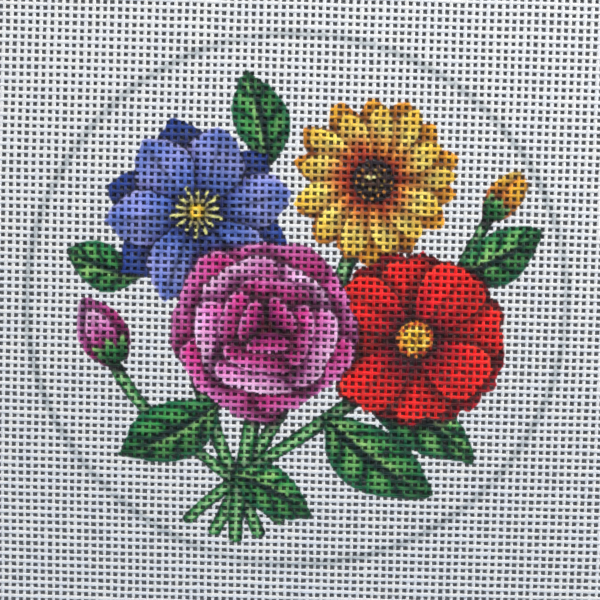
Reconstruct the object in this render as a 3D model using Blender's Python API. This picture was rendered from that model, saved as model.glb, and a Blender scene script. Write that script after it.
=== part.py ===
"""Needlepoint canvas panel: one square of stiff, open-mesh cotton canvas, lying flat on its underside.

Metres, +Z up. The origin is the middle of the underside. +X is the right of the painted picture and +Y its
top. The weave's gaps are under a millimetre, so the solid is the cloth's envelope with no gaps in it.
"""

import bpy

# Driving dimensions. Mono canvas is sold by its count, the number of threads in an inch.
INCH = 0.0254
THREADS_PER_INCH = 18
ROUND_INCHES = 4
MARGIN_INCHES = 1
THREAD_PITCH = INCH / THREADS_PER_INCH

# The cut follows the grain, so the side is a whole number of threads.
THREADS_ACROSS = (ROUND_INCHES + 2 * MARGIN_INCHES) * THREADS_PER_INCH
PANEL_SIDE = THREADS_ACROSS * THREAD_PITCH

# Two crossing threads, their sizing and the air under them where the cloth isn't quite flat.
PANEL_THICKNESS = 0.001

CANVAS_WHITE = (0.80, 0.83, 0.86, 1.0)
CANVAS_ROUGHNESS = 0.75


def clear_scene():
    """Removes every object that the file opened with."""
    for old in list(bpy.data.objects):
        bpy.data.objects.remove(old, do_unlink=True)


def object_collection(name):
    """Makes the collection that holds the object's pieces and returns it."""
    made = bpy.data.collections.new(name)
    bpy.context.scene.collection.children.link(made)
    return made


def sized_cotton():
    """White cotton thread stiffened with starch."""
    material = bpy.data.materials.new("sized_cotton")
    material.use_nodes = True
    shader = material.node_tree.nodes["Principled BSDF"]
    shader.inputs["Base Color"].default_value = CANVAS_WHITE
    shader.inputs["Roughness"].default_value = CANVAS_ROUGHNESS
    shader.inputs["Metallic"].default_value = 0.0
    return material


def cut_canvas(collection):
    """The cloth: a square sheet cut along the grain, its underside on the ground plane."""
    bpy.ops.mesh.primitive_cube_add(size=1.0, location=(0.0, 0.0, PANEL_THICKNESS / 2))
    canvas = bpy.context.object
    canvas.name = "canvas"
    canvas.data.name = "canvas"
    canvas.scale = (PANEL_SIDE, PANEL_SIDE, PANEL_THICKNESS)
    bpy.ops.object.transform_apply(location=False, rotation=False, scale=True)
    canvas.data.materials.append(sized_cotton())
    for holder in list(canvas.users_collection):
        holder.objects.unlink(canvas)
    collection.objects.link(canvas)
    return canvas


def main():
    clear_scene()
    cut_canvas(object_collection("needlepoint_canvas_panel"))


main()
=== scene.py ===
# %% [markdown]
# # A painted needlepoint canvas, thread by thread
#
# The real thing is a square of stiff cotton canvas with 18 threads to the inch each way. Someone has drawn a
# 4 inch round on it and painted a posy inside, for a stitcher to work over with wool.
#
# Two things make it look real: light falls through a grid of small square holes, and the paint lies only on
# the round tops of the threads. A flat sheet with a picture of holes can't show either, so every thread is
# modelled.

# %% Load the fixed frame
import math

import bmesh
import bpy
import numpy as np
from mathutils import Matrix, Vector


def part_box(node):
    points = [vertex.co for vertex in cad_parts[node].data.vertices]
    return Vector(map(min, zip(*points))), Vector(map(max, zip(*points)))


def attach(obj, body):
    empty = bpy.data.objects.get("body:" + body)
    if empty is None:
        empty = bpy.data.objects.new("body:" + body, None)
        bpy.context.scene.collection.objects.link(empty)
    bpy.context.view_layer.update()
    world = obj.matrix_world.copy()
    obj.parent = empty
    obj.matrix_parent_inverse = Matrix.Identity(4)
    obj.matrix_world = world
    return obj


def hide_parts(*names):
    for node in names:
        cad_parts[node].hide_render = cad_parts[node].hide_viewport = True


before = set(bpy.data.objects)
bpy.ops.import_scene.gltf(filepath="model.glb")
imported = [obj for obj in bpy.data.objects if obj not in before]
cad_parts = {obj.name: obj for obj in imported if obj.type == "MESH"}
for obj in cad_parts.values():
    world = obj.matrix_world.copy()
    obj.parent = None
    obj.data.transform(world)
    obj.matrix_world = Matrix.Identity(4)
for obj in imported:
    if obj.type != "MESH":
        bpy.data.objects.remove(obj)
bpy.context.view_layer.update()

scene = bpy.context.scene

# %% [markdown]
# ## Sizes
#
# Lengths are in metres, and `MM` turns a millimetre into metres. The cloth's side comes from the CAD solid. The
# canvas has 108 threads each way, which gives the pitch from one thread to the next, 1.411 mm. A thread takes
# up a little less than half of that, and the hole beside it the rest.

# %% Sizes of the cloth and its threads
MM = 0.001
cloth_low, cloth_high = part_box("canvas")
SIDE = cloth_high.x - cloth_low.x
THREADS = 108
PITCH = SIDE / THREADS
THREAD_WIDE = {"warp": 0.64 * MM, "weft": 0.645 * MM}
THREAD_THICK = 0.50 * MM
RISE = {"warp": 0.13 * MM, "weft": 0.065 * MM}  # how far a thread climbs above or dips below its own middle
LEVEL = {"warp": -0.055 * MM, "weft": 0.055 * MM}  # the weft is pulled tighter, and lies a little higher
ROUND_RADIUS = 51.75 * MM  # the drawn circle
print(f"pitch {PITCH / MM:.3f} mm, holes {(PITCH - THREAD_WIDE['warp']) / MM:.2f} mm wide")

# %% [markdown]
# ## The camera
#
# The picture was taken from almost straight above with a long lens. The rows of holes close up a little towards
# the bottom, so the top of the cloth was nearer: the camera leaned by 11 degrees. The rows also run slightly
# down to the right, so it was turned by not quite 2 degrees.

# %% Make the camera
LEAN = math.radians(11.0)
TURN = math.radians(1.75)
FRAME_WIDE = 115.0 * MM
LENS, SENSOR = 241.0, 36.0  # focal length and sensor width, in mm
LOOK_AT = Vector((0.7 * MM, 0.35 * MM, 0.0))

lens = bpy.data.cameras.new("camera")
lens.lens, lens.sensor_width = LENS, SENSOR
camera = bpy.data.objects.new("camera", lens)
scene.collection.objects.link(camera)
distance = FRAME_WIDE * LENS / SENSOR
camera.location = LOOK_AT + distance * Vector((0.0, math.sin(LEAN), math.cos(LEAN)))
camera.matrix_world = (
    Matrix.Translation(camera.location)
    @ Matrix.Rotation(-LEAN, 4, "X")
    @ Matrix.Rotation(TURN, 4, "Z")
)
scene.camera = camera
print(f"camera {distance:.3f} m away")

# %% [markdown]
# ## Floor and light
#
# The cloth lies on a plain pale floor, and yet its holes should be dark, as they are in life. Light that comes
# in low can't reach down a hole, so the lamps are soft panels that stand low around the cloth, the strongest
# past the top of the picture. Two bluish ones at the bottom edge give the cloth there its cool cast, like light
# from a window.

# %% Make the floor
FLOOR_GREY = (0.46, 0.47, 0.49, 1.0)
FLOOR_ROUGH, FLOOR_REACH = 0.9, 2.0

pale_floor = bpy.data.materials.new("pale_floor")
pale_floor.use_nodes = True
floor_shader = pale_floor.node_tree.nodes["Principled BSDF"]
floor_shader.inputs["Base Color"].default_value = FLOOR_GREY
floor_shader.inputs["Roughness"].default_value = FLOOR_ROUGH

floor_grid = bmesh.new()
bmesh.ops.create_grid(floor_grid, x_segments=1, y_segments=1, size=FLOOR_REACH)
floor_mesh = bpy.data.meshes.new("floor")
floor_grid.to_mesh(floor_mesh)
floor_grid.free()
floor_mesh.materials.append(pale_floor)
floor = bpy.data.objects.new("floor", floor_mesh)
scene.collection.objects.link(floor)
print("floor:", [round(side, 2) for side in floor.dimensions], "m")

# %% Make the lamps
WORLD_COLOUR, WORLD_STRENGTH = (0.95, 0.97, 1.0, 1.0), 0.004
PANEL_LONG, PANEL_TALL = 0.9, 0.2  # shares of the distance to the cloth
SUNNY, WHITE, WINDOW, SKY = (1.0, 0.99, 0.975), (1.0, 0.995, 0.99), (0.80, 0.90, 1.0), (0.25, 0.52, 1.0)
LAMPS = [  # name, azimuth, elevation, power, distance in metres, colour
    ("key_light", 15, 36, 8.6, 0.46, SUNNY),
    ("right_light", 88, 20, 6.8, 0.6, WHITE),
    ("near_light", 188, 15, 4.9, 0.35, WINDOW),
    ("sky_light", 177, 20, 0.9, 0.2, SKY),
    ("left_light", -80, 20, 6.5, 0.6, WHITE),
]


def strip_lamp(name, azimuth, elevation, power, away, colour):
    """A panel that faces the cloth, as bright there from any distance. Azimuth 0 is the top, 90 the right."""
    a, e = math.radians(azimuth), math.radians(elevation)
    place = away * Vector((math.sin(a) * math.cos(e), math.cos(a) * math.cos(e), math.sin(e)))
    light = bpy.data.lights.new(name, "AREA")
    light.shape, light.size, light.size_y = "RECTANGLE", PANEL_LONG * away, PANEL_TALL * away
    light.energy, light.color = power * away * away, colour
    lamp = bpy.data.objects.new(name, light)
    lamp.location = place
    lamp.rotation_euler = place.to_track_quat("Z", "Y").to_euler()
    lamp.visible_camera = False
    scene.collection.objects.link(lamp)


for settings in LAMPS:
    strip_lamp(*settings)

world = bpy.data.worlds.new("studio")
world.use_nodes = True
background = world.node_tree.nodes["Background"]
background.inputs["Color"].default_value = WORLD_COLOUR
background.inputs["Strength"].default_value = WORLD_STRENGTH
scene.world = world
scene.view_settings.view_transform = "Standard"
print("lamps:", [settings[0] for settings in LAMPS])

# %% [markdown]
# ## Random but repeatable
#
# Cotton is never quite even. `grain` is a table of random numbers, read with soft steps between its cells. It
# makes slow swells or fine mottling, as its inputs are scaled. Each use has its own seed, and the same seed
# gives the same cloth each time.

# %% Soft steps and soft random values
TABLE_SIDE = 64
tables = {}


def smooth(low, high, value):
    """0 below low, 1 above high, and a soft step between them. With low above high it runs the other way."""
    share = np.clip((value - low) / (high - low), 0.0, 1.0)
    return share * share * (3.0 - 2.0 * share)


def grain(x, y, seed):
    """Soft random values from -1 to 1, with a new value for each unit of x and of y."""
    if seed not in tables:
        tables[seed] = np.random.default_rng(seed).uniform(-1.0, 1.0, (TABLE_SIDE, TABLE_SIDE))
    table = tables[seed]
    column, row = np.floor(x).astype(int), np.floor(y).astype(int)
    across, up = smooth(0, 1, x - column), smooth(0, 1, y - row)
    left, right = column % TABLE_SIDE, (column + 1) % TABLE_SIDE
    bottom, top = row % TABLE_SIDE, (row + 1) % TABLE_SIDE
    low = table[left, bottom] * (1 - across) + table[right, bottom] * across
    high = table[left, top] * (1 - across) + table[right, top] * across
    return low * (1 - up) + high * up


# %% [markdown]
# ## One thread
#
# A thread is a closed tube with six sides. `create_cone` with two equal radii makes a cylinder, which is laid
# along X and pressed flat, because starched canvas threads are wider than they are thick. It needs a ring of
# points on each side of every thread that it crosses, half a pitch apart, so that it can bend over and under.

# %% Make one straight thread
SIDES = 6
RING_STEP = PITCH / 2
STRETCHES = 2 * THREADS + 1  # from one ring to the next. The end rings are pulled in to the cut edge later


def straight_thread(bm, wide):
    """A flattened tube along X through the origin, in rings half a pitch apart."""
    bmesh.ops.create_cone(bm, cap_ends=True, segments=SIDES, radius1=wide / 2, radius2=wide / 2,
                          depth=STRETCHES * RING_STEP)
    flat_side = wide / 2 * math.cos(math.pi / SIDES)
    bmesh.ops.rotate(bm, verts=bm.verts, matrix=Matrix.Rotation(math.pi / 2, 3, "Y"))
    bmesh.ops.scale(bm, verts=bm.verts, vec=(1.0, 1.0, THREAD_THICK / 2 / flat_side))
    long_edges = [edge for edge in bm.edges if edge.calc_length() > PITCH]
    bmesh.ops.subdivide_edges(bm, edges=long_edges, cuts=STRETCHES - 1)


# %% [markdown]
# ## Bundles of threads
#
# The warp runs up the picture and the weft across it. Each set of 108 is made as four bundles of 27, which
# keeps every mesh light enough. A bundle is the one thread, duplicated a pitch apart.
#
# Paint needs finer steps than the weave does: its colour is kept at the mesh's points, and a petal's edge can
# change it within half a pitch. So the stretches that lie under the posy are cut in three, and the bare cloth
# around it stays coarse.

# %% Make a straight bundle
BUNDLES = 4
PER_BUNDLE = THREADS // BUNDLES
FINE_RADIUS, FINE_CUTS = 48.5 * MM, 2


def fine_stretches(bm):
    """The lengthwise edges whose stretch of thread lies under the posy. All six around a thread go together."""
    found = []
    for edge in bm.edges:
        a, b = edge.verts[0].co, edge.verts[1].co
        if abs(a.x - b.x) > PITCH / 4:
            thread = math.floor(a.y / PITCH)
            if math.hypot((a.x + b.x) / 2, (thread + 0.5) * PITCH) < FINE_RADIUS:
                found.append(edge)
    return found


def straight_bundle(number, wide):
    """27 straight threads along X, in their places across the cloth."""
    bm = bmesh.new()
    straight_thread(bm, wide)
    first = (number * PER_BUNDLE + 0.5) * PITCH - SIDE / 2
    bmesh.ops.translate(bm, verts=bm.verts, vec=(0.0, first, 0.0))
    thread = bm.verts[:] + bm.edges[:] + bm.faces[:]
    for step in range(1, PER_BUNDLE):
        copy = bmesh.ops.duplicate(bm, geom=thread)["geom"]
        points = [part for part in copy if isinstance(part, bmesh.types.BMVert)]
        bmesh.ops.translate(bm, verts=points, vec=(0.0, step * PITCH, 0.0))
    bmesh.ops.subdivide_edges(bm, edges=fine_stretches(bm), cuts=FINE_CUTS)
    return bm


# %% [markdown]
# ## Weaving
#
# Plain weave is over one, under one. A cosine along the thread gives that wave, and the next thread over has it
# upside down. Where a warp thread is up, the weft thread that crosses it is down. The wave is shallow, because
# starched threads are pressed into each other where they cross, and glued there.
#
# Then the cloth is made less perfect. Threads wander a little, with their neighbours and by themselves, swell
# and thin like spun cotton, and end unevenly where the shears cut them. Towards the bottom the warp is a little
# thinner and lies lower, so the weft looks brighter there. The wave is deeper there too, so that the warp still
# comes up over every second weft thread.

# %% How uneven the threads are
WANDER_TOGETHER, TOGETHER_LONG, NEIGHBOURS = 0.055 * MM, 11 * MM, 3.1  # how far, and over what stretch
WANDER_ALONE, ALONE_LONG = 0.055 * MM, 4.3 * MM
SWELL, SWELL_LONG = {"warp": 0.17, "weft": 0.26}, 2.1 * MM  # the weft is spun less evenly
SLUB, SLUB_LONG, SLUB_RARE = 0.30, 2.8 * MM, 0.72
UNLIKE = 0.05  # how much whole threads differ in width
FULLER_TOP = {"warp": 0.14, "weft": 0.02}  # how much wider a thread is at the cloth's top than at its bottom
CHANGE_REACH = 60 * MM  # how far from its middle the cloth goes on changing, up and down
ROW_STEP = {"end": 1.7, "wander": 7.3, "swell": 5.7, "unlike": 3.9, "slub": 9.1}  # gives each thread its own


def share_up(y):
    """How far up the cloth a point lies: 0 at the bottom and 1 at the top."""
    return smooth(-CHANGE_REACH, CHANGE_REACH, y)


def wander(along, number, seed):
    """How far a thread strays to the side."""
    together = WANDER_TOGETHER * grain(along / TOGETHER_LONG, number / NEIGHBOURS, seed + 2)
    return together + WANDER_ALONE * grain(along / ALONE_LONG, number * ROW_STEP["wander"], seed + 3)


def width_share(kind, along, y, number, seed):
    """How wide a thread is, where 1 is its plain width."""
    wider = 1 + SWELL[kind] * grain(along / SWELL_LONG, number * ROW_STEP["swell"], seed + 4)
    wider += UNLIKE * grain(number * ROW_STEP["unlike"], number * 0, seed + 5)
    wider += SLUB * smooth(SLUB_RARE, 1.0, grain(along / SLUB_LONG, number * ROW_STEP["slub"], seed + 6))
    return wider + FULLER_TOP[kind] * (share_up(y) - 0.5)


# %% Bend the threads over and under each other
ALONG_AXIS = {"warp": 1, "weft": 0}
LEVEL_GROWS, RISE_GROWS = 1.0, 0.5  # how much of LEVEL and RISE is added from the cloth's top to its bottom
CREST_FLAT = 0.35
CUT_SLACK = 0.28 * MM
END_WIDTH = 0.8


def over_under(share):
    """The wave's height, from -1 to 1, where share counts the threads crossed. Its crests are slightly flat."""
    wave = np.cos(np.pi * share)
    return wave * (1 + CREST_FLAT - CREST_FLAT * wave * wave)


def thread_numbers(across):
    """Which thread each point is on, counted from the cloth's left or bottom edge."""
    return np.floor((across + SIDE / 2) / PITCH)


def woven(points, kind, seed):
    """Moves straight threads into the weave. Weft runs along X and warp along Y."""
    along_axis = ALONG_AXIS[kind]
    across_axis = 1 - along_axis
    along, across = points[:, along_axis], points[:, across_axis]
    number = thread_numbers(across)
    middle = (number + 0.5) * PITCH - SIDE / 2
    aside, height = across - middle, points[:, 2]
    crossed = along / PITCH + THREADS / 2 - 0.5
    side_up = np.where(number % 2 == 0, 1.0, -1.0) * (1.0 if along_axis else -1.0)
    at_end = np.abs(along) > SIDE / 2
    snipped = grain(number * ROW_STEP["end"], np.sign(along) * 9.5, seed + 1)
    along = np.where(at_end, np.sign(along) * (SIDE / 2 - CUT_SLACK * (0.5 + 0.5 * snipped)), along)
    wider = width_share(kind, along, points[:, 1], number, seed)
    wider = np.where(at_end, END_WIDTH * wider, wider)
    moved = np.empty_like(points)
    moved[:, along_axis] = along
    moved[:, across_axis] = middle + wander(along, number, seed) + aside * wider
    lower = 0.5 - share_up(points[:, 1])
    level = LEVEL[kind] * (1 + LEVEL_GROWS * lower)
    rise = RISE[kind] * (1 + RISE_GROWS * lower)
    moved[:, 2] = height * (0.5 + 0.5 * wider) + level + rise * side_up * over_under(crossed)
    return moved


# %% [markdown]
# ## Not quite square or flat
#
# Both sets of threads bow together where the cloth was pulled off square, most of all at its left corners. The
# cloth isn't ironed, and lifts off the floor here and there by the thickness of a sheet of paper.

# %% Bow and lift the cloth
BOW_REACH = 57 * MM  # from the middle to the edge of the picture
BOW = 0.25 * MM
BOTTOM_PULL, TOP_PULL = 0.45, 0.35  # millimetres, at the left corners
LIFT, LIFT_WIDE, LIFT_LONG, LIFT_SEED = 0.08 * MM, 38 * MM, 31 * MM, 71
CLEAR = 0.02 * MM  # room for the fattest slub under the lowest thread


def bowed(points):
    """Moves warp and weft alike, in the plane of the cloth. At 1, x and y are at the picture's edge."""
    x, y = points[:, 0] / BOW_REACH, points[:, 1] / BOW_REACH
    at_left, at_bottom = smooth(0.9, -0.9, x), smooth(0.9, -0.9, y)
    pull = BOTTOM_PULL * smooth(-0.55, -1.1, y) + TOP_PULL * smooth(0.35, 1.1, y)
    points[:, 1] += BOW * ((x * x - 0.4) * at_bottom + 0.8 * y * y)
    points[:, 0] += MM * at_left * pull
    return points


def lifted(points):
    """Raises the woven cloth so that its lowest threads rest on the floor and the rest swells off it."""
    swell = 0.5 + 0.5 * grain(points[:, 0] / LIFT_WIDE + 5.2, points[:, 1] / LIFT_LONG + 8.1, LIFT_SEED)
    deepest = (1 + RISE_GROWS / 2) * RISE["warp"] - (1 + LEVEL_GROWS / 2) * LEVEL["warp"]
    points[:, 2] += deepest + THREAD_THICK / 2 + CLEAR + LIFT * swell
    return points


# %% [markdown]
# ## Unrolling the threads
#
# Patterns that follow a thread, such as the twist of its plies, need coordinates that follow it too. The map
# `yarn` holds millimetres along the thread and the share of the way around it. A second map, `OFBake`, lays the
# same strips side by side in one square, two rows to a thread, with most of each row given to the side that
# faces up. An exporter can draw the finished colours into that square.

# %% Maps along and around each thread
ROUND_SHARES = np.array([0.0, 0.20, 0.46, 0.66, 0.78, 0.89, 1.0])
ROW_FILLED = 0.8
CAP_LONG, CAP_TALL = 0.15, 0.3  # size of a cut end on the map, in pitches along the row and in rows


def corner_table(mesh):
    """For each face corner: its point, and the face's first corner and number of corners."""
    corner_point = np.empty(len(mesh.loops), int)
    mesh.loops.foreach_get("vertex_index", corner_point)
    start, total = np.empty(len(mesh.polygons), int), np.empty(len(mesh.polygons), int)
    mesh.polygons.foreach_get("loop_start", start)
    mesh.polygons.foreach_get("loop_total", total)
    return corner_point, start, total


def unroll(mesh, straight, along_axis):
    """Adds both maps, from where the points were before the weaving."""
    corner_point, start, total = corner_table(mesh)
    along, across = straight[:, along_axis], straight[:, 1 - along_axis]
    number = thread_numbers(across)
    aside = across - ((number + 0.5) * PITCH - SIDE / 2)
    turn = np.arctan2(straight[:, 2] / THREAD_THICK, aside / THREAD_WIDE["weft"]) * SIDES / (2 * np.pi)
    step = np.round(turn).astype(int) % SIDES
    face = np.repeat(np.arange(len(start)), total)
    corner_step, corner_along = step[corner_point], along[corner_point]
    lowest, highest = np.minimum.reduceat(corner_step, start), np.maximum.reduceat(corner_step, start)
    wraps = (highest == SIDES - 1) & (lowest == 0)
    corner_step = np.where(wraps[face] & (corner_step == 0) & (total[face] == 4), SIDES, corner_step)
    yarn = np.stack([corner_along / MM, corner_step / SIDES], 1)
    half = (np.add.reduceat(corner_along, start) / total)[face] > 0
    row = (number[corner_point] % PER_BUNDLE) * 2 + half
    u = corner_along + np.where(half, 0.0, SIDE / 2) + PITCH / 2
    v = row + 0.5 * (1 - ROW_FILLED) + ROW_FILLED * ROUND_SHARES[corner_step]
    cap = total[face] > 4
    angle = corner_step * 2 * np.pi / SIDES
    u = np.where(cap, u + np.sign(corner_along) * PITCH * CAP_LONG * (1.2 + np.cos(angle)), u)
    v = np.where(cap, row + 0.5 + CAP_TALL * np.sin(angle), v)
    bake = np.stack([u / (SIDE / 2 + 1.5 * PITCH), v / (2 * PER_BUNDLE)], 1)
    for name, values in (("yarn", yarn), ("OFBake", bake)):
        layer = mesh.uv_layers.new(name=name)
        layer.uv.foreach_set("vector", values.astype(np.float32).ravel())


# %% [markdown]
# ## Weave the cloth
#
# Here the eight bundles are made, turned, unrolled and woven. `read_points` and `write_points` move a mesh's
# points to numpy and back in one go, which is far quicker than one at a time.

# %% Weave all eight bundles
SEEDS = {"warp": 100, "weft": 200}


def read_points(mesh):
    """A mesh's points as rows of x, y and z."""
    flat = np.empty(len(mesh.vertices) * 3, np.float32)
    mesh.vertices.foreach_get("co", flat)
    return flat.reshape(-1, 3).astype(float)


def write_points(mesh, points):
    """Puts every point of a mesh in its new place."""
    mesh.vertices.foreach_set("co", points.astype(np.float32).ravel())
    mesh.update()


def weave_bundle(kind, number):
    """One woven bundle as an object, and where its points were before the weaving."""
    bm = straight_bundle(number, THREAD_WIDE[kind])
    if kind == "warp":
        bmesh.ops.rotate(bm, verts=bm.verts, matrix=Matrix.Rotation(math.pi / 2, 3, "Z"))
    for face in bm.faces:
        face.smooth = True
    mesh = bpy.data.meshes.new(f"{kind}_{number + 1}")
    bm.to_mesh(mesh)
    bm.free()
    straight = read_points(mesh)
    unroll(mesh, straight, ALONG_AXIS[kind])
    write_points(mesh, lifted(bowed(woven(straight, kind, SEEDS[kind]))))
    bundle = bpy.data.objects.new(mesh.name, mesh)
    scene.collection.objects.link(bundle)
    return bundle, straight


bundles, straight_points = [], {}
for kind in ("warp", "weft"):
    for number in range(BUNDLES):
        bundle, straight = weave_bundle(kind, number)
        bundles.append(bundle)
        straight_points[bundle.name] = straight
counts = [len(bundle.data.loops) - 2 * len(bundle.data.polygons) for bundle in bundles]
print("triangles in each bundle:", counts, "in all:", sum(counts))

# %% [markdown]
# ## The painted posy
#
# The painter works in soft acrylics on top of the threads. In the mesh that is one colour for each point, and
# how much paint is there, from 0 to 1. The picture is built the way a painter builds it, from the back to the
# front: stems, leaves, then each flower's petals, every one laid over what is there already.
#
# From here on, lengths in the picture are in millimetres from the middle of the round. All the bundles' points
# are gathered in one list, so that each brush mark runs across warp and weft alike.

# %% Gather the points inside the round
PAINTED_RADIUS = 50.0
EDGE_FINE, EDGE_BROAD = 0.16, 0.12  # how far the brush strays from an edge, in small and larger waves
sizes = [len(bundle.data.vertices) for bundle in bundles]
every_point = np.concatenate([read_points(bundle.data) for bundle in bundles]) / MM
inside = np.flatnonzero(np.hypot(every_point[:, 0], every_point[:, 1]) < PAINTED_RADIUS)
px, py = every_point[inside, 0], every_point[inside, 1]
colours = np.ones((len(px), 3))
cover = np.zeros(len(px))
ragged = EDGE_FINE * grain(px / 0.8, py / 0.8, 1) + EDGE_BROAD * grain(px / 2.1, py / 2.1, 2)
print("points to paint:", len(px))

# %% [markdown]
# ## Laying on paint
#
# `lay` puts one layer of paint over what is there. `shade` only darkens paint that is there already, as a
# painter does where one petal lies over another. `ramp` mixes a row of colours from one end to the other.
# Every mark gets its own seed, so that no two are alike.

# %% Layers, shadows and mixed colours
FIRST_SEED = 10
marks = FIRST_SEED


def next_seed():
    """A new seed for each mark."""
    global marks
    marks += 1
    return marks


def ramp(share, row):
    """Colours mixed along a row of them, for shares from 0 to 1."""
    stops = np.linspace(0, 1, len(row))
    return np.stack([np.interp(share, stops, [colour[channel] for colour in row]) for channel in range(3)], 1)


def close_to(middle, radius):
    """The numbers of the points that lie within radius of middle."""
    return np.flatnonzero((px - middle[0]) ** 2 + (py - middle[1]) ** 2 < radius**2)


def around(middle, radius):
    """The points near a place, and how far each lies to its right, above it and away from it."""
    near = close_to(middle, radius)
    dx, dy = px[near] - middle[0], py[near] - middle[1]
    return near, dx, dy, np.hypot(dx, dy)


def lay(near, mask, colour):
    """Lays paint over the points numbered in near, as thickly as mask says."""
    share = mask[:, None]
    colours[near] = colours[near] * (1 - share) + np.asarray(colour) * share
    cover[near] += (1 - cover[near]) * mask


def shade(near, mask, tint):
    """Darkens the paint under a soft shadow. Bare cloth stays bare."""
    share = (mask * cover[near])[:, None]
    colours[near] *= 1 - share * (1 - np.array(tint))


# %% [markdown]
# ## A petal
#
# Nearly everything in the posy is a petal: wide or narrow, round or pointed, straight or bent. It has a foot,
# a direction, a length and a width. Every point near it is turned into two numbers, its share of the way from
# foot to tip and its distance from the middle line. They decide whether the point is inside, how far from the
# edge, and which colour of the row it gets.
#
# The painter ran a thin dark line round each petal where it overlaps another, and let the light catch the rim.

# %% Paint one petal
LIGHT = (-0.5, 0.86)  # the painter's light comes from the upper left
LINE_WIDE = 0.5
NOTCH_WIDE = 0.16  # share of the petal's width
FOLD_WIDE = 0.45
SLOPE_STEP = 0.02


def toward(angle):
    """A step of length 1 at an angle in degrees, counted from the right."""
    return np.array([math.cos(math.radians(angle)), math.sin(math.radians(angle))])


def petal(foot, angle, length, width, row, rim=None, rim_share=0.5, belly=1.5, point=0.6, notch=0.0, bend=0.0,
          light=0.16, streak=0.10, fold=0.10, shadow=0.5, cool=(0.45, 0.35, 0.5), line=0.0):
    """Paints a petal and returns its points, its mask and where each point lies along and across it."""
    seed = next_seed()
    way = toward(angle)
    near = close_to(np.array(foot) + way * length / 2, max(length, width) * 0.62 + 2.5)
    dx, dy = px[near] - foot[0], py[near] - foot[1]
    along = dx * way[0] + dy * way[1]
    across = -dx * way[1] + dy * way[0] - bend * along**2 / length
    share = along / length + notch * np.exp(-((across / (NOTCH_WIDE * width)) ** 2))
    share += 0.025 * grain(across / 1.1 + seed, share * 2, seed)
    inner = np.clip(share, 0, 1)

    def half_width(at):  # a high belly puts the widest place near the tip, and a low point rounds the ends
        return width / 2 * np.sin(np.pi * np.clip(at, 0, 1) ** belly) ** point

    half = half_width(inner)
    slope = (half_width(inner + SLOPE_STEP) - half_width(inner - SLOPE_STEP)) / (2 * SLOPE_STEP * length)
    gap = (half - np.abs(across)) / np.sqrt(1 + np.minimum(slope**2, 9)) + ragged[near]
    past = np.maximum(np.abs(share - 0.5) - 0.5, 0) * length
    gap = np.where(past > 0, -np.hypot(across, past) - 0.15, gap)
    mask = smooth(-0.12, 0.18, gap)
    shade(near, smooth(-2.2, -0.1, gap) * (1 - mask) * shadow, cool)
    under = cover[near]
    side = np.clip(across / np.maximum(half, 0.4), -1, 1)
    broad = 0.6 * grain(side * 3.5 + seed, inner * 1.6, seed + 1)
    lines = broad + 0.5 * grain(side * 9 + seed, inner * 2.5, seed + 2)
    colour = ramp(np.clip(inner + 0.10 * lines, 0, 1), row)
    lit = LIGHT[0] * -way[1] + LIGHT[1] * way[0]
    value = 1 + light * lit * side + streak * lines
    crease = np.exp(-((across / FOLD_WIDE) ** 2))
    value *= 1 - fold * crease * smooth(0.05, 0.3, inner) * smooth(1.0, 0.7, inner)
    colour = colour * value[:, None]
    if rim is not None:
        catch = rim_share * smooth(1.5, 0.2, gap) * smooth(0.25, 0.7, inner)
        catch *= 0.65 + 0.35 * np.sign(lit) * side
        colour = colour * (1 - catch[:, None]) + np.array(rim) * catch[:, None]
    if line:
        drawn = line * under * smooth(LINE_WIDE, 0.4 * LINE_WIDE, gap)
        colour = colour * (1 - drawn[:, None]) + 0.45 * np.array(row[0]) * drawn[:, None]
    lay(near, mask, np.clip(colour, 0, 1))
    return near, mask, inner, side


# %% [markdown]
# ## Washes, discs, dots and strokes
#
# A wash is a soft stain that runs out from a flower's heart in spikes. A disc is the heart itself. Dots are
# stamens and pollen, and a stroke is one pull of the brush along a curve, which makes stems.

# %% Paint a wash, a disc and dots
JITTER = 0.25


def wash(middle, radius, colour, spikes=7, strength=0.9, core=0.35, reach=0.35):
    """A stain that fades outwards in spikes, on paint alone."""
    seed = next_seed()
    near, dx, dy, away = around(middle, radius * 1.5)
    turn = np.arctan2(dy, dx) / (2 * np.pi) * spikes
    edge = radius * (1 + reach * grain(turn + 40, away * 0 + 3.3, seed))
    lay(near, strength * smooth(edge, edge * core, away) * (cover[near] > 0.3), colour)


def disc(middle, radius, row, speck=0.15, shadow=0.5):
    """A round heart, speckled, with its own shadow."""
    seed = next_seed()
    near, dx, dy, away = around(middle, radius + 2)
    gap = radius - away + ragged[near]
    mask = smooth(-0.1, 0.15, gap)
    shade(near, smooth(-1.6, 0, gap) * (1 - mask) * shadow, (0.4, 0.3, 0.35))
    value = 1 + 0.22 * (dx * LIGHT[0] + dy * LIGHT[1]) / radius + speck * grain(dx / 0.55, dy / 0.55, seed)
    lay(near, mask, np.clip(ramp(np.clip(away / radius, 0, 1), row) * value[:, None], 0, 1))


def dots(middle, radius, number, size, colour):
    """A ring of dots, not quite even."""
    draw = np.random.default_rng(next_seed())
    for step in range(number):
        turn = 2 * math.pi * (step + JITTER * draw.uniform(-1, 1)) / number
        reach = radius * (1 + 0.5 * JITTER * draw.uniform(-1, 1))
        at = (middle[0] + reach * math.cos(turn), middle[1] + reach * math.sin(turn))
        near, _, _, away = around(at, size * 2.5)
        lay(near, smooth(size * 1.15, size * 0.7, away), colour)


# %% Paint a stroke
STROKE_STEPS = 40


def curve_points(path):
    """Points along the Bezier curve of any number of control points."""
    path = [np.array(point, float) for point in path]
    share = np.linspace(0, 1, STROKE_STEPS)[:, None]
    while len(path) > 1:
        path = [a * (1 - share) + b * share for a, b in zip(path, path[1:])]
    return path[0]


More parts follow.
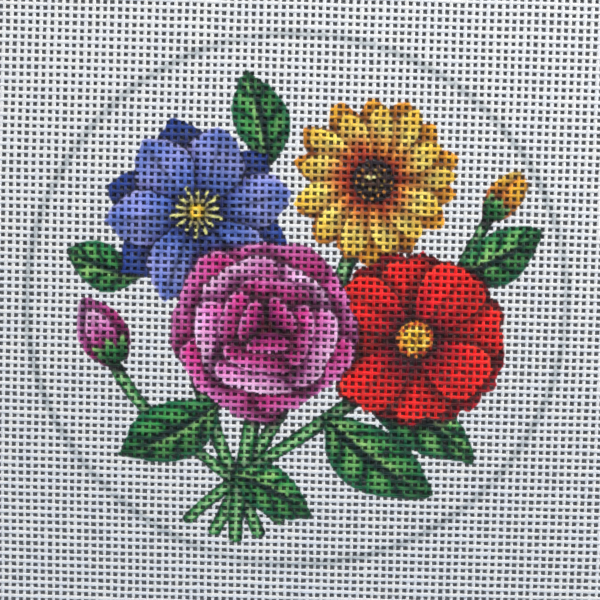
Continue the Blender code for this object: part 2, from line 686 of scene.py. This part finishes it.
def stroke(path, wide, row, taper=0.4, shadow=0.35):
    """One pull of the brush along a curve, thinner towards its end. Its colours run from side to side."""
    seed = next_seed()
    trail = curve_points(path)
    low, high = trail.min(0) - wide - 2, trail.max(0) + wide + 2
    near = np.flatnonzero((px > low[0]) & (px < high[0]) & (py > low[1]) & (py < high[1]))
    points = np.stack([px[near], py[near]], 1)
    best, where, side = np.full(len(near), 1e9), np.zeros(len(near)), np.zeros(len(near))
    for step in range(len(trail) - 1):
        way = trail[step + 1] - trail[step]
        share = np.clip(((points - trail[step]) @ way) / (way @ way), 0, 1)
        off = points - trail[step] - share[:, None] * way
        away = np.hypot(off[:, 0], off[:, 1])
        closer = away < best
        best = np.where(closer, away, best)
        where = np.where(closer, (step + share) / (len(trail) - 1), where)
        side = np.where(closer, way[0] * off[:, 1] - way[1] * off[:, 0], side)
    half = wide / 2 * (1 - taper * where)
    gap = half - best + ragged[near] * 0.7
    mask = smooth(-0.12, 0.15, gap)
    shade(near, smooth(-1.2, 0, gap) * (1 - mask) * shadow, (0.5, 0.45, 0.55))
    across = np.clip(np.sign(side) * best / half, -1, 1)
    lay(near, mask, ramp(np.clip(0.5 + 0.5 * across + 0.15 * grain(where * 20, best, seed), 0, 1), row))


# %% [markdown]
# ## Leaves
#
# A leaf is a petal in greens, with teal edges, a dark rib down its middle and dark side veins that slant
# forwards. The flesh swells between the veins and is painted pale there, more on one half than on the other,
# because the two halves of a real leaf face different ways. A thin pale line follows the rib on its lit side.

# %% Paint one leaf
VEINS = 4


def leaf(foot, angle, length, width, row, pale, bend):
    """A veined leaf. The row of greens runs from foot to tip."""
    near, mask, inner, side = petal(foot, angle, length, width, row, belly=1.0, point=0.85, bend=bend,
                                    light=0.35, streak=0.22, fold=0.0, shadow=0.45, line=0.7)
    sides = np.abs(side)
    slant = inner * VEINS - sides * 0.9 + 0.3
    off_vein = np.abs(slant - np.round(slant))
    flesh = smooth(0.05, 0.25, sides) * smooth(0.98, 0.6, sides)
    flesh = flesh * smooth(0.0, 0.2, inner) * smooth(1.0, 0.8, inner)
    tone = 0.35 + 0.65 * smooth(0.25, 0.7, 0.5 + 0.5 * grain(inner * 2.5 + angle, side * 1.5, 5))
    lit = 0.65 + 0.35 * smooth(-0.4, 0.6, side)
    lay(near, mask * 0.7 * smooth(0.55, 0.95, sides), TEAL)
    lay(near, mask * flesh * smooth(0.10, 0.36, off_vein) * tone * lit, pale)
    lay(near, mask * flesh * 0.85 * smooth(0.15, 0.03, off_vein), DEEP)
    lay(near, mask * 0.9 * smooth(0.24, 0.08, sides) * smooth(1.0, 0.6, inner), DEEP)
    lay(near, mask * 0.7 * smooth(0.14, 0.04, np.abs(side - 0.18)) * smooth(0.9, 0.6, inner), pale)


# %% [markdown]
# ## Rings of petals, and the painter's colours
#
# A flower is one or more rings of petals around a heart. The colours are written as they look, from 0 to 1, and
# turned into the renderer's linear values at the end.

# %% Colours, and a ring of petals
WHITE_PINK, ORCHID, ROSE, PLUM = (0.94, 0.78, 0.90), (0.84, 0.47, 0.74), (0.78, 0.19, 0.52), (0.42, 0.05, 0.31)
LEMON, GOLD, ORANGE, BRICK = (0.97, 0.88, 0.46), (0.96, 0.74, 0.20), (0.92, 0.50, 0.17), (0.66, 0.15, 0.11)
CORAL, SCARLET, CRIMSON, WINE = (0.99, 0.37, 0.22), (0.95, 0.12, 0.12), (0.72, 0.04, 0.13), (0.33, 0.03, 0.13)
LILAC, PERIWINKLE, ROYAL, NAVY = (0.55, 0.58, 0.84), (0.30, 0.41, 0.73), (0.10, 0.21, 0.52), (0.05, 0.07, 0.26)
SPRING, GRASS, FOREST = (0.64, 0.84, 0.50), (0.11, 0.47, 0.22), (0.01, 0.22, 0.14)
TEAL, DEEP, SAGE = (0.05, 0.38, 0.29), (0.02, 0.13, 0.15), (0.60, 0.80, 0.56)
CREAM, NIGHT = (0.97, 0.95, 0.62), (0.09, 0.08, 0.12)


def ring(middle, number, length, width, row, first=0.0, inset=0.0, wobble=3.0, order=None, **more):
    """Petals around a flower's heart, each a little different. Each lies over the one before."""
    draw = np.random.default_rng(int(first * 10) + number)
    for step in order or range(number):
        angle = first + 360.0 * step / number + draw.uniform(-wobble, wobble)
        long = length * (1 + draw.uniform(-0.06, 0.05))
        wide = width * (1 + draw.uniform(-0.08, 0.08))
        foot = np.array(middle) + inset * toward(angle)
        petal(foot, angle, long - inset, wide, row, bend=draw.uniform(-0.08, 0.08), **more)


# %% [markdown]
# ## The flowers
#
# Six kinds of garden flower fill the round: a blue clematis with pointed sepals, a golden coneflower with a
# dark cone, a red cosmos with notched petals, a magenta rose, a pink tulip bud and a golden bud.

# %% Clematis and coneflower
def clematis(middle, first):
    """Twelve pointed sepals in two rows, and cream stamens."""
    ring(middle, 6, 18.5, 11.5, [NAVY, ROYAL, PERIWINKLE, ROYAL], first + 30, belly=1.25, point=0.85, rim=ROYAL,
         fold=0.3, line=0.8)
    ring(middle, 6, 18.0, 12.0, [NAVY, PERIWINKLE, LILAC, PERIWINKLE], first, belly=1.3, point=0.8,
         rim=(0.78, 0.73, 0.92), rim_share=0.6, fold=0.35, streak=0.16, line=0.9)
    wash(middle, 6.5, NAVY, spikes=12, strength=0.75, core=0.3)
    for step in range(14):
        reach = 3.9 + 0.5 * ((step * 5) % 3)
        way = toward(first + step * 360 / 14)
        path = [np.array(middle) + way * reach * share for share in (0, 0.5, 1)]
        stroke(path, 0.75, [CREAM, (0.86, 0.86, 0.5)], taper=0.2, shadow=0.5)
    disc(middle, 1.7, [CREAM, GOLD, (0.45, 0.45, 0.15)], speck=0.3)


def coneflower(middle, first):
    """Two rows of narrow golden rays around a dark cone with pollen on it."""
    ring(middle, 14, 16.5, 6.6, [BRICK, ORANGE, GOLD, GOLD], first + 12, belly=1.7, rim=ORANGE, fold=0.2,
         line=0.5)
    ring(middle, 13, 15.2, 6.0, [BRICK, ORANGE, LEMON, GOLD], first, belly=1.7, rim=LEMON, rim_share=0.6,
         fold=0.25, streak=0.14, shadow=0.45, cool=(0.55, 0.28, 0.18), line=0.6)
    wash(middle, 8.2, BRICK, spikes=26, strength=0.85, reach=0.5)
    disc(middle, 4.1, [(0.30, 0.20, 0.14), (0.20, 0.12, 0.12), NIGHT], speck=0.5)
    dots(middle, 3.2, 16, 0.34, (0.80, 0.52, 0.20))
    dots(middle, 1.9, 9, 0.34, (0.62, 0.52, 0.25))
    dots((middle[0] - 0.5, middle[1] + 0.7), 0.5, 2, 0.45, CREAM)


# %% Cosmos and rose
def cosmos(middle, first):
    """Two rows of eight broad, notched petals around a golden disc."""
    ring(middle, 8, 18.0, 13.0, [WINE, WINE, CRIMSON, CRIMSON], first + 22, belly=1.9, point=0.42, notch=0.05,
         rim=CRIMSON, rim_share=0.4, fold=0.25, shadow=0.6, cool=(0.35, 0.15, 0.3), line=0.8)
    ring(middle, 8, 17.2, 12.2, [WINE, CRIMSON, SCARLET, SCARLET], first, belly=1.9, point=0.42, notch=0.06,
         rim=CORAL, rim_share=0.6, fold=0.3, streak=0.14, light=0.2, shadow=0.6, cool=(0.35, 0.12, 0.25),
         order=(0, 2, 4, 6, 1, 3, 5, 7), line=0.8)
    wash(middle, 8.0, WINE, spikes=16, core=0.3, reach=0.45)
    disc(middle, 3.6, [GOLD, GOLD, ORANGE], speck=0.35, shadow=0.8)
    dots(middle, 3.1, 15, 0.38, BRICK)
    dots(middle, 2.0, 9, 0.42, LEMON)
    dots(middle, 0.8, 4, 0.42, (0.62, 0.40, 0.10))


ROSE_ROWS = [  # petals, length, width, colours, rim, turn, inset
    (5, 17.5, 22.0, [PLUM, ROSE, ROSE, ORCHID], (0.90, 0.66, 0.84), 0.0, 1.0),
    (5, 13.8, 17.5, [PLUM, ROSE, ORCHID, WHITE_PINK], (0.94, 0.80, 0.93), 32.0, 0.8),
    (4, 9.6, 13.5, [PLUM, PLUM, ROSE, ORCHID], (0.94, 0.76, 0.90), 60.0, 0.5),
    (3, 5.6, 8.6, [WINE, PLUM, ROSE, ORCHID], (0.93, 0.66, 0.84), 20.0, 0.2),
]


def rose(middle, first):
    """Four rows of cupped petals, each smaller than the last."""
    for number, length, width, row, rim, turn, inset in ROSE_ROWS:
        ring(middle, number, length, width, row, first + turn, inset=inset, belly=1.75, point=0.45, notch=0.03,
             rim=rim, rim_share=0.8, fold=0.0, light=0.2, shadow=0.7, cool=(0.42, 0.14, 0.36), line=0.7)
    wash(middle, 2.0, WINE, spikes=5, strength=0.7, core=0.3)


# %% Buds
def sepals(foot, angles, length, width):
    """Small green leaves that hold a bud."""
    for angle in angles:
        petal(foot, angle, length, width, [FOREST, GRASS, SPRING], belly=1.0, point=0.8)


def tulip_bud(foot, angle, size):
    """A closed tulip: one petal behind, one to each side and one in front."""
    way = toward(angle)

    def beside(step):
        return (foot[0] - step * way[1], foot[1] + step * way[0])

    row = [PLUM, ROSE, ORCHID, WHITE_PINK]
    cup = {"belly": 1.15, "point": 0.7, "fold": 0.0, "line": 0.7}
    petal(foot, angle, size * 0.98, size * 0.52, row, belly=1.1, point=0.7, rim=ORCHID)
    petal(beside(1.6), angle + 9, size, size * 0.42, row, rim=WHITE_PINK, bend=-0.25, **cup)
    petal(beside(-1.6), angle - 9, size * 0.97, size * 0.42, [PLUM, PLUM, ROSE, ORCHID], rim=ORCHID, bend=0.25,
          **cup)
    petal(beside(0.2), angle + 1, size * 0.88, size * 0.40, row, belly=1.1, point=0.75, rim=WHITE_PINK,
          fold=0.2, line=0.7)
    sepals(foot, (angle + 30, angle - 32, angle), size * 0.42, size * 0.16)


def golden_bud(foot, angle, size):
    """A bud that is just opening, in three petals."""
    cup = {"belly": 1.1, "point": 0.7}
    petal(foot, angle, size, size * 0.52, [ORANGE, GOLD, LEMON, GOLD], rim=LEMON, fold=0.2, **cup)
    petal((foot[0] - 0.6, foot[1] + 0.6), angle + 10, size * 0.96, size * 0.37, [BRICK, ORANGE, GOLD, LEMON],
          rim=LEMON, bend=-0.2, line=0.6, **cup)
    petal((foot[0] + 0.6, foot[1] - 0.4), angle - 10, size * 0.92, size * 0.37, [BRICK, ORANGE, GOLD, GOLD],
          rim=ORANGE, bend=0.2, line=0.6, **cup)
    sepals(foot, (angle + 25, angle - 25, angle), size * 0.45, size * 0.18)


# %% [markdown]
# ## The arrangement
#
# Stems first, because everything lies over them: they cross in a loose fan at the lower left. Then the leaves,
# then the flowers, and the rose last of all, in front.

# %% Paint the posy
STEM_ROW = [DEEP, GRASS, SAGE, SAGE, GRASS, DEEP]
LEAF_ROW = [FOREST, GRASS, GRASS, FOREST]
STEMS = [  # the curve's points from top to foot, and the stem's width
    ([(-21, 12), (-22, -12), (-17, -22), (-6.0, -45.5)], 3.4),
    ([(13, 20), (6, -8), (-4, -24), (-14.5, -45.5)], 3.4),
    ([(22, -8), (12, -22), (-4, -28), (-19.5, -43.0)], 3.2),
    ([(-35, -12), (-30, -24), (-20, -27), (-2.0, -43.0)], 2.8),
    ([(-4, -4), (-6, -18), (-10, -30), (-10.5, -46.5)], 3.8),
    ([(36, 17), (30, 6), (28, 0), (22, -8)], 2.4),
]
LEAVES = [  # foot, angle, length, width, bend
    ((-6, 26), 96, 19, 11.0, 0.15),
    ((30, 6), 18, 19, 10.5, 0.2),
    ((-30, 4), 172, 15, 9.5, -0.2),
    ((6, -22), -48, 26, 13.5, 0.2),
    ((12, -16), -20, 27, 12.5, -0.2),
    ((-14, -20), -142, 22, 12.5, -0.15),
    ((-12, -34), -15, 18, 9.5, -0.2),
]
for path, wide in STEMS:
    stroke(path, wide, STEM_ROW, taper=0.2)
for foot, angle, length, width, bend in LEAVES:
    leaf(foot, angle, length, width, LEAF_ROW, SPRING, bend)
tulip_bud((-33.5, -13.5), 118, 15.0)
clematis((-19.5, 17.0), 12)
coneflower((14.0, 24.0), 5)
golden_bud((35.5, 17.0), 52, 12.5)
cosmos((23.0, -6.5), 8)
rose((-5.5, -5.0), 20)
print(f"{marks - FIRST_SEED} marks, paint on {100 * (cover > 0.5).mean():.0f}% of the round")

# %% [markdown]
# ## Putting the paint on the threads
#
# The colours go into a colour attribute called `paint`, whose alpha is the cover. Paint is brushed on from
# above and soaks well down into the cotton, so the underside is a little paler. `topside` says which way a
# point faces: 1 on top of its thread, 0 underneath.

# %% Write the paint attribute
SOAKED_THROUGH = 0.80


def linear(seen):
    """Turns colours as they look into the linear values that the renderer works with."""
    return np.where(seen <= 0.04045, seen / 12.92, ((seen + 0.055) / 1.055) ** 2.4)


all_colours = np.ones((len(every_point), 4))
all_colours[:, 3] = 0.0
all_colours[inside, :3] = linear(np.clip(colours, 0, 1))
all_colours[inside, 3] = np.clip(cover, 0, 1)
first = 0
for bundle, size in zip(bundles, sizes):
    topside = smooth(-0.6, 0.1, straight_points[bundle.name][:, 2] / (THREAD_THICK / 2))
    values = all_colours[first:first + size].copy()
    values[:, 3] *= SOAKED_THROUGH + (1 - SOAKED_THROUGH) * topside
    layer = bundle.data.color_attributes.new("paint", "FLOAT_COLOR", "POINT")
    layer.data.foreach_set("color", values.astype(np.float32).ravel())
    first += size
print("points with paint:", first)

# %% [markdown]
# ## Building materials from nodes
#
# Small helpers keep the node code short. `join` plugs a value or another node's output into a socket, and
# `fill` does so for several. `sums`, `soft_step`, `blend` and `noise` each make one node. `new_group` makes a
# node group with named sockets, which works like a new kind of node.

# %% Node helpers
def join(tree, value, socket):
    """Sets a socket to a constant or links another node's output to it."""
    if isinstance(value, bpy.types.NodeSocket):
        tree.links.new(value, socket)
    else:
        socket.default_value = value


def fill(tree, node, values):
    """Fills a node's inputs, named or numbered, and returns its outputs."""
    for socket, value in values.items():
        join(tree, value, node.inputs[socket])
    return node.outputs


def sums(tree, operation, *values):
    """One Math node, with its inputs filled in order."""
    node = tree.nodes.new("ShaderNodeMath")
    node.operation = operation
    return fill(tree, node, dict(enumerate(values)))[0]


def soft_step(tree, value, low, high):
    """A soft step from 0 at low to 1 at high."""
    node = tree.nodes.new("ShaderNodeMapRange")
    node.interpolation_type = "SMOOTHSTEP"
    return fill(tree, node, {"Value": value, "From Min": low, "From Max": high})["Result"]


def blend(tree, share, first, second):
    """Mixes two colours."""
    node = tree.nodes.new("ShaderNodeMix")
    node.data_type = "RGBA"
    return fill(tree, node, {0: share, 6: first, 7: second})[2]


def noise(tree, vector, scale, detail=2.0, roughness=0.5):
    """Soft random values around 0.5."""
    node = tree.nodes.new("ShaderNodeTexNoise")
    values = {"Vector": vector, "Scale": scale, "Detail": detail, "Roughness": roughness}
    return fill(tree, node, values)["Fac"]


def new_group(name, takes, gives):
    """An empty node group with its named sockets, and the nodes inside it that stand for them."""
    group = bpy.data.node_groups.new(name, "ShaderNodeTree")
    for socket, kind in takes.items():
        group.interface.new_socket(socket, in_out="INPUT", socket_type=kind)
    for socket, kind in gives.items():
        group.interface.new_socket(socket, in_out="OUTPUT", socket_type=kind)
    return group, group.nodes.new("NodeGroupInput"), group.nodes.new("NodeGroupOutput")


NUMBER, VECTOR = "NodeSocketFloat", "NodeSocketVector"

# %% [markdown]
# ## Twisted cotton
#
# Canvas thread is spun from several plies that wind around each other like a rope. On the `yarn` map, a ply is
# a slanting stripe: along plus around. Because the number of plies is whole, the stripes meet where the map
# wraps. The fibres are noise that is stretched along the same slant.

# %% The twist of the plies
FIBRE_ALONG, FIBRE_AROUND, FIBRE_SCALE = 0.9, 1.6, 1.7  # a fibre is longer than it is wide


def make_twist():
    """Node group: the plies' ridges and the fibres' streaks, from the yarn map."""
    group, takes, gives = new_group("twisted_cotton", {"Yarn": VECTOR, "Ply Length": NUMBER, "Plies": NUMBER},
                                    {"Ridge": NUMBER, "Fibre": NUMBER})
    split = group.nodes.new("ShaderNodeSeparateXYZ")
    join(group, takes.outputs["Yarn"], split.inputs[0])
    along, around = split.outputs["X"], split.outputs["Y"]
    turns = sums(group, "DIVIDE", along, takes.outputs["Ply Length"])
    phase = sums(group, "MULTIPLY_ADD", around, takes.outputs["Plies"], turns)
    wave = sums(group, "SINE", sums(group, "MULTIPLY", phase, math.pi))
    join(group, sums(group, "ABSOLUTE", wave), gives.inputs["Ridge"])
    whole_turn = sums(group, "MULTIPLY", sums(group, "DIVIDE", phase, takes.outputs["Plies"]), 2 * math.pi)
    place = group.nodes.new("ShaderNodeCombineXYZ")
    join(group, sums(group, "MULTIPLY", along, FIBRE_ALONG), place.inputs["X"])
    for axis, wind in (("Y", "COSINE"), ("Z", "SINE")):
        join(group, sums(group, "MULTIPLY", sums(group, wind, whole_turn), FIBRE_AROUND), place.inputs[axis])
    join(group, noise(group, place.outputs[0], FIBRE_SCALE, 3.0, 0.6), gives.inputs["Fibre"])
    return group


twist_group = make_twist()
print("group:", twist_group.name)

# %% [markdown]
# ## The drawn ring
#
# The painter first draws the round with a soft grey pencil. The line is a little over 1 mm wide, fades out at
# its edges, and is broken where the point skips over the holes. Its mask is a distance from the cloth's middle.

# %% The pencil ring
WOBBLE, WOBBLE_SCALE = 1.2 * MM, 22.0  # how far the hand strays, and how often
SKIP_SCALE, PRESSURE_SCALE = 900.0, 45.0
LINE_CORE = 0.2  # share of the reach that is fully dark


def make_ring_line():
    """Node group: a mask for a drawn circle around the origin, from Object coordinates."""
    group, takes, gives = new_group("pencil_ring", {"Place": VECTOR, "Radius": NUMBER, "Reach": NUMBER},
                                    {"Mask": NUMBER})
    place, radius, reach = takes.outputs["Place"], takes.outputs["Radius"], takes.outputs["Reach"]
    split = group.nodes.new("ShaderNodeSeparateXYZ")
    join(group, place, split.inputs[0])
    x, y = split.outputs["X"], split.outputs["Y"]
    squares = sums(group, "ADD", sums(group, "MULTIPLY", x, x), sums(group, "MULTIPLY", y, y))
    hand = sums(group, "SUBTRACT", noise(group, place, WOBBLE_SCALE), 0.5)
    wobble = sums(group, "MULTIPLY", hand, WOBBLE)
    from_line = sums(group, "SUBTRACT", sums(group, "SQRT", squares), radius)
    off = sums(group, "ABSOLUTE", sums(group, "ADD", from_line, wobble))
    line = soft_step(group, off, reach, sums(group, "MULTIPLY", reach, LINE_CORE))
    skips = soft_step(group, noise(group, place, SKIP_SCALE, 2.0, 0.6), 0.15, 0.55)
    pressure = soft_step(group, noise(group, place, PRESSURE_SCALE), 0.0, 0.6)
    broken = sums(group, "MULTIPLY", skips, pressure)
    join(group, sums(group, "MULTIPLY", line, broken), gives.inputs["Mask"])
    return group


ring_group = make_ring_line()
print("group:", ring_group.name)

# %% [markdown]
# ## The canvas material
#
# One material makes bare cotton, pencil and paint. Bare starched cotton is matt and very slightly blue. Acrylic
# is smoother: it closes the fibres, so a painted thread has a soft gloss on the side that faces the light.

# %% Make the material
COTTON_COOL = (0.775, 0.800, 0.845, 1.0)
COTTON_WARM = (0.825, 0.830, 0.825, 1.0)
PENCIL = (0.33, 0.39, 0.42, 1.0)
BARE_ROUGH, PAINTED_ROUGH, SPECULAR = 0.85, 0.50, 0.35
PLY_LENGTH, PLIES = 0.55, 3.0  # millimetres of thread to a ply's stripe, and how many plies
RING_REACH = 1.15 * MM  # from the middle of the line to where it has faded out
PENCIL_SHARE = 0.70
MOTTLE_SCALE = 420.0
# Painted shade: the grooves between the plies are darkened in the colour and the ridges lightened. The fibres
# add a random tone.
PAINTED_GROOVE_SHADE, FIBRE_TONE, PAINTED_RIDGE_LIGHT = 0.83, 0.22, 0.10  # a groove's brightness, and what fibres and ridges add
BUMP_STRENGTH, BUMP_HEIGHT, FIBRE_BUMP = 0.5, 0.03 * MM, 0.6


def add_group(tree, group, values):
    """Places a node group in a material and fills its inputs."""
    node = tree.nodes.new("ShaderNodeGroup")
    node.node_tree = group
    return fill(tree, node, values)


def make_canvas_material():
    """Starched cotton with pencil and paint on it."""
    material = bpy.data.materials.new("sized_cotton")
    material.use_nodes = True
    tree = material.node_tree
    shader = tree.nodes["Principled BSDF"]
    yarn = tree.nodes.new("ShaderNodeUVMap")
    yarn.uv_map = "yarn"
    place = tree.nodes.new("ShaderNodeTexCoord").outputs["Object"]
    paint = tree.nodes.new("ShaderNodeAttribute")
    paint.attribute_name = "paint"
    twist = add_group(tree, twist_group, {"Yarn": yarn.outputs["UV"], "Ply Length": PLY_LENGTH, "Plies": PLIES})
    line = add_group(tree, ring_group, {"Place": place, "Radius": ROUND_RADIUS, "Reach": RING_REACH})["Mask"]
    mottle = soft_step(tree, noise(tree, place, MOTTLE_SCALE, 3.0, 0.6), 0.30, 0.70)
    bare = blend(tree, mottle, COTTON_COOL, COTTON_WARM)
    drawn = blend(tree, sums(tree, "MULTIPLY", line, PENCIL_SHARE), bare, PENCIL)
    painted = blend(tree, paint.outputs["Alpha"], drawn, paint.outputs["Color"])
    # The colour gets painted shade in the plies' grooves and painted light on their ridges, and a random fibre
    # tone.
    depth = sums(tree, "MULTIPLY_ADD", twist["Fibre"], FIBRE_TONE, PAINTED_GROOVE_SHADE)
    painted_ply_shade_with_fibre_tone = sums(tree, "MULTIPLY_ADD", twist["Ridge"], PAINTED_RIDGE_LIGHT, depth)
    shade_and_tone_node = tree.nodes.new("ShaderNodeVectorMath")
    shade_and_tone_node.operation = "SCALE"
    colour_with_painted_shade = fill(tree, shade_and_tone_node, {0: painted, "Scale": painted_ply_shade_with_fibre_tone})[0]
    rough = sums(tree, "MULTIPLY_ADD", paint.outputs["Alpha"], PAINTED_ROUGH - BARE_ROUGH, BARE_ROUGH)
    relief = sums(tree, "MULTIPLY_ADD", twist["Fibre"], FIBRE_BUMP, twist["Ridge"])
    bump = tree.nodes.new("ShaderNodeBump")
    bumps = fill(tree, bump, {"Strength": BUMP_STRENGTH, "Distance": BUMP_HEIGHT, "Height": relief})
    fill(tree, shader, {"Base Color": colour_with_painted_shade, "Specular IOR Level": SPECULAR, "Roughness": rough,
                        "Normal": bumps["Normal"]})
    return material


canvas_material = make_canvas_material()
for bundle in bundles:
    bundle.data.materials.append(canvas_material)
print("material:", canvas_material.name, "with", len(canvas_material.node_tree.nodes), "nodes")

# %% [markdown]
# ## Hand the pieces over
#
# Every bundle rides on the one body and stands in place of the plain CAD slab, which is hidden.

for bundle in bundles:
    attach(bundle, "root")
    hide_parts("canvas")
